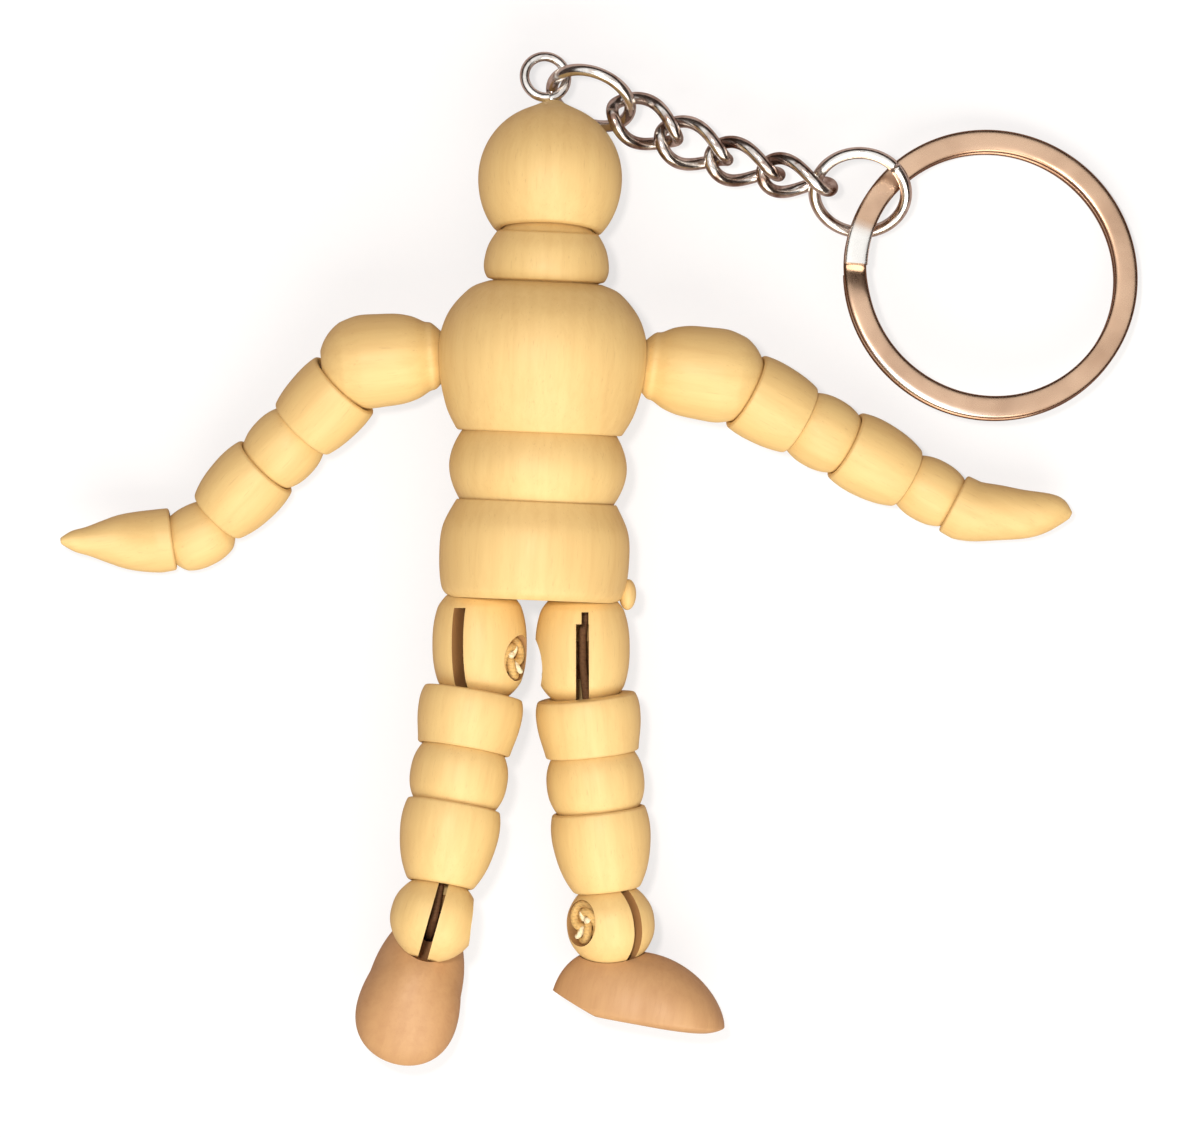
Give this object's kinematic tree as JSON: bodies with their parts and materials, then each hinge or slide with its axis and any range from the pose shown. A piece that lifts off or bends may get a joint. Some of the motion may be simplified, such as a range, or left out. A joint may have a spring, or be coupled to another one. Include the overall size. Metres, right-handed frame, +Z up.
{
  "type": "articulated figure keychain",
  "caption": "Jointed wooden figure of turned beads strung on elastic cord, with a screw eye, a short curb chain and a flat split ring for keys.",
  "frame": {"origin": "under the middle of the bounding box, on the surface the figure lies on", "axes": "+Z up out of the front of the figure, +Y toward the head, +X to the right hand side of the picture"},
  "size_m": [0.108, 0.1014, 0.0211],
  "materials": {
    "wood": "clear satin lacquer over pale close-grained wood",
    "foot_wood": "clear satin lacquer over browner wood",
    "elastic": "braided elastic cord",
    "nickel": "polished nickel plate",
    "ring_steel": "polished steel with a copper tint"
  },
  "bodies": {
    "chest": {"chest": "wood", "arm_cord": "elastic", "spine_cord": "elastic"},
    "head": {"head": "wood", "screw_eye": "nickel"},
    "pelvis": {"pelvis": "wood", "leg_cord": "elastic"},
    "neck": {"neck": "wood"},
    "waist": {"waist": "wood"},
    "left_shoulder": {"left_shoulder": "wood"},
    "left_upper_arm": {"left_upper_arm": "wood"},
    "left_elbow": {"left_elbow": "wood"},
    "left_forearm": {"left_forearm": "wood"},
    "left_wrist": {"left_wrist": "wood"},
    "left_hand": {"left_hand": "wood"},
    "right_shoulder": {"right_shoulder": "wood"},
    "right_upper_arm": {"right_upper_arm": "wood"},
    "right_elbow": {"right_elbow": "wood"},
    "right_forearm": {"right_forearm": "wood"},
    "right_wrist": {"right_wrist": "wood"},
    "right_hand": {"right_hand": "wood"},
    "left_thigh": {"left_thigh": "wood"},
    "left_calf": {"left_calf": "wood"},
    "left_knee": {"left_knee": "wood"},
    "left_lower_thigh": {"left_lower_thigh": "wood"},
    "left_ankle": {"left_ankle": "wood"},
    "left_foot": {"left_foot": "foot_wood"},
    "right_thigh": {"right_thigh": "wood"},
    "right_calf": {"right_calf": "wood"},
    "right_knee": {"right_knee": "wood"},
    "right_lower_thigh": {"right_lower_thigh": "wood"},
    "right_ankle": {"right_ankle": "wood"},
    "right_foot": {"right_foot": "foot_wood"},
    "jump_ring_head": {"jump_ring_head": "nickel"},
    "curb_link_1": {"curb_link_1": "nickel"},
    "curb_link_2": {"curb_link_2": "nickel"},
    "curb_link_3": {"curb_link_3": "nickel"},
    "curb_link_4": {"curb_link_4": "nickel"},
    "jump_ring_key": {"jump_ring_key": "nickel"},
    "split_ring": {"split_ring": "ring_steel"}
  },
  "joints": [
    {"name": "head_nod", "type": "hinge", "parent": "neck", "child": "head", "pos_m": [-0.00534, 0.02855, 0.01057], "axis": [0.9991, -0.0419, 0], "range_deg": [-8, 25], "deforming": ["spine_cord"]},
    {"name": "neck_turn", "type": "hinge", "parent": "chest", "child": "neck", "pos_m": [-0.00524, 0.03087, 0.01057], "axis": [0.0419, 0.9991, 0], "range_deg": [-45, 45], "deforming": ["spine_cord"]},
    {"name": "waist_side_bend", "type": "hinge", "parent": "chest", "child": "waist", "pos_m": [-0.00619, 0.00813, 0.01057], "axis": [0, 0, 1], "range_deg": [-10, 10], "deforming": ["spine_cord"]},
    {"name": "pelvis_bow", "type": "hinge", "parent": "waist", "child": "pelvis", "pos_m": [-0.00611, 0.01, 0.01057], "axis": [0.9991, -0.0419, 0], "range_deg": [-10, 10], "deforming": ["spine_cord"]},
    {"name": "left_shoulder_turn", "type": "hinge", "parent": "chest", "child": "left_shoulder", "pos_m": [-0.01946, 0.01999, 0.00907], "axis": [-0.9962, -0.0872, 0], "range_deg": [-60, 60], "deforming": ["arm_cord"]},
    {"name": "left_arm_raise", "type": "hinge", "parent": "left_shoulder", "child": "left_upper_arm", "pos_m": [-0.02324, 0.01966, 0.00907], "axis": [0, 0, -1], "range_deg": [-15, 40], "deforming": ["arm_cord"]},
    {"name": "left_elbow_lift", "type": "hinge", "parent": "left_upper_arm", "child": "left_elbow", "pos_m": [-0.03167, 0.01099, 0.0065], "axis": [-0.7169, 0.6972, 0], "range_deg": [-25, 25], "deforming": ["arm_cord"]},
    {"name": "left_forearm_swing", "type": "hinge", "parent": "left_elbow", "child": "left_forearm", "pos_m": [-0.03159, 0.01107, 0.00653], "axis": [0.1449, 0.1491, -0.9781], "range_deg": [-25, 25], "deforming": ["arm_cord"]},
    {"name": "left_wrist_swing", "type": "hinge", "parent": "left_forearm", "child": "left_wrist", "pos_m": [-0.04018, 0.00225, 0.00391], "axis": [0.1068, 0.0537, -0.9928], "range_deg": [-25, 25], "deforming": ["arm_cord"]},
    {"name": "left_hand_lift", "type": "hinge", "parent": "left_wrist", "child": "left_hand", "pos_m": [-0.04013, 0.00228, 0.00392], "axis": [-0.4491, 0.8935, 0], "range_deg": [-25, 25], "deforming": ["arm_cord"]},
    {"name": "right_shoulder_turn", "type": "hinge", "parent": "chest", "child": "right_shoulder", "pos_m": [0.00802, 0.01883, 0.00907], "axis": [0.989, -0.1478, 0], "range_deg": [-60, 45], "deforming": ["arm_cord"]},
    {"name": "right_arm_raise", "type": "hinge", "parent": "right_shoulder", "child": "right_upper_arm", "pos_m": [0.01178, 0.01827, 0.00907], "axis": [0, 0, 1], "range_deg": [-30, 8], "deforming": ["arm_cord"]},
    {"name": "right_elbow_lift", "type": "hinge", "parent": "right_upper_arm", "child": "right_elbow", "pos_m": [0.02241, 0.01252, 0.0065], "axis": [-0.4756, -0.8796, 0], "range_deg": [-25, 25], "deforming": ["arm_cord"]},
    {"name": "right_forearm_swing", "type": "hinge", "parent": "right_elbow", "child": "right_forearm", "pos_m": [0.0223, 0.01258, 0.00653], "axis": [0.1829, -0.0989, 0.9781], "range_deg": [-25, 15], "deforming": ["arm_cord"]},
    {"name": "right_wrist_swing", "type": "hinge", "parent": "right_forearm", "child": "right_wrist", "pos_m": [0.03314, 0.00672, 0.00391], "axis": [0.0998, -0.0534, 0.9936], "range_deg": [-25, 25], "deforming": ["arm_cord"]},
    {"name": "right_hand_lift", "type": "hinge", "parent": "right_wrist", "child": "right_hand", "pos_m": [0.03309, 0.00675, 0.00392], "axis": [-0.4717, -0.8817, 0], "range_deg": [-25, 25], "deforming": ["arm_cord"]},
    {"name": "left_thigh_twist", "type": "hinge", "parent": "pelvis", "child": "left_thigh", "pos_m": [-0.01199, -0.00719, 0.01057], "axis": [0, -1, 0], "range_deg": [-45, 45], "deforming": ["leg_cord"]},
    {"name": "left_hip_swing", "type": "hinge", "parent": "left_thigh", "child": "left_lower_thigh", "pos_m": [-0.01199, -0.00999, 0.01057], "axis": [-0.8829, 0, -0.4695], "range_deg": [-10, 50], "deforming": ["leg_cord"]},
    {"name": "left_knee_bend", "type": "hinge", "parent": "left_lower_thigh", "child": "left_knee", "pos_m": [-0.01407, -0.0219, 0.01142], "axis": [0.9851, -0.1719, 0], "range_deg": [-5, 25], "deforming": ["leg_cord"]},
    {"name": "left_calf_bend", "type": "hinge", "parent": "left_knee", "child": "left_calf", "pos_m": [-0.01406, -0.02187, 0.01142], "axis": [0.9851, -0.1719, 0], "range_deg": [-5, 25], "deforming": ["leg_cord"]},
    {"name": "left_ankle_twist", "type": "hinge", "parent": "left_calf", "child": "left_ankle", "pos_m": [-0.01653, -0.03599, 0.01242], "axis": [-0.1715, -0.9827, 0.0698], "range_deg": [-60, 60], "deforming": ["leg_cord"]},
    {"name": "left_foot_flex", "type": "hinge", "parent": "left_ankle", "child": "left_foot", "pos_m": [-0.01653, -0.03599, 0.01242], "axis": [-0.9617, 0.274, 0], "range_deg": [-20, 60], "deforming": ["leg_cord"]},
    {"name": "right_thigh_twist", "type": "hinge", "parent": "pelvis", "child": "right_thigh", "pos_m": [-0.0017, -0.00763, 0.01057], "axis": [0, 1, 0], "range_deg": [-45, 45], "deforming": ["leg_cord"]},
    {"name": "right_hip_swing", "type": "hinge", "parent": "right_thigh", "child": "right_lower_thigh", "pos_m": [-0.0017, -0.01043, 0.01057], "axis": [-1, 0, 0], "range_deg": [-10, 50], "deforming": ["leg_cord"]},
    {"name": "right_knee_bend", "type": "hinge", "parent": "right_lower_thigh", "child": "right_knee", "pos_m": [-0.00041, -0.02242, 0.00952], "axis": [0.9942, 0.1071, 0], "range_deg": [-5, 25], "deforming": ["leg_cord"]},
    {"name": "right_calf_bend", "type": "hinge", "parent": "right_knee", "child": "right_calf", "pos_m": [-0.00041, -0.0224, 0.00952], "axis": [0.9942, 0.1071, 0], "range_deg": [-5, 25], "deforming": ["leg_cord"]},
    {"name": "right_ankle_twist", "type": "hinge", "parent": "right_calf", "child": "right_ankle", "pos_m": [0.00112, -0.03662, 0.00827], "axis": [-0.1067, 0.9905, 0.0872], "range_deg": [-60, 60], "deforming": ["leg_cord"]},
    {"name": "right_foot_flex", "type": "hinge", "parent": "right_ankle", "child": "right_foot", "pos_m": [0.00112, -0.03662, 0.00827], "axis": [-0.7777, -0.1378, 0.6133], "range_deg": [-25, 25], "deforming": ["leg_cord"]},
    {"name": "ring_swing", "type": "hinge", "parent": "head", "child": "jump_ring_head", "pos_m": [-0.00346, 0.04724, 0.00701], "axis": [0.3789, 0.8856, -0.2686], "range_deg": [-20, 20]},
    {"name": "link_1_swing", "type": "hinge", "parent": "jump_ring_head", "child": "curb_link_1", "pos_m": [0.0029, 0.0444, 0.00665], "axis": [-0.2881, -0.5457, -0.7869], "range_deg": [-15, 6]},
    {"name": "link_2_swing", "type": "hinge", "parent": "curb_link_1", "child": "curb_link_2", "pos_m": [0.00776, 0.04192, 0.00636], "axis": [-0.181, -0.2453, -0.9524], "range_deg": [-15, 6]},
    {"name": "link_3_swing", "type": "hinge", "parent": "curb_link_2", "child": "curb_link_3", "pos_m": [0.0128, 0.03989, 0.00608], "axis": [-0.0648, -0.0209, -0.9977], "range_deg": [-15, 6]},
    {"name": "link_4_swing", "type": "hinge", "parent": "curb_link_3", "child": "curb_link_4", "pos_m": [0.01802, 0.03839, 0.00579], "axis": [0.0105, 0.2221, -0.975], "range_deg": [-15, 6]},
    {"name": "key_ring_swing", "type": "hinge", "parent": "curb_link_4", "child": "jump_ring_key", "pos_m": [0.02329, 0.03708, 0.00551], "axis": [0.0667, 0.4593, -0.8858], "range_deg": [-15, 5]},
    {"name": "split_ring_swing", "type": "hinge", "parent": "jump_ring_key", "child": "split_ring", "pos_m": [0.03017, 0.03466, 0.00438], "axis": [0.4728, 0.745, 0.4706], "range_deg": [-15, 20]}
  ]
}
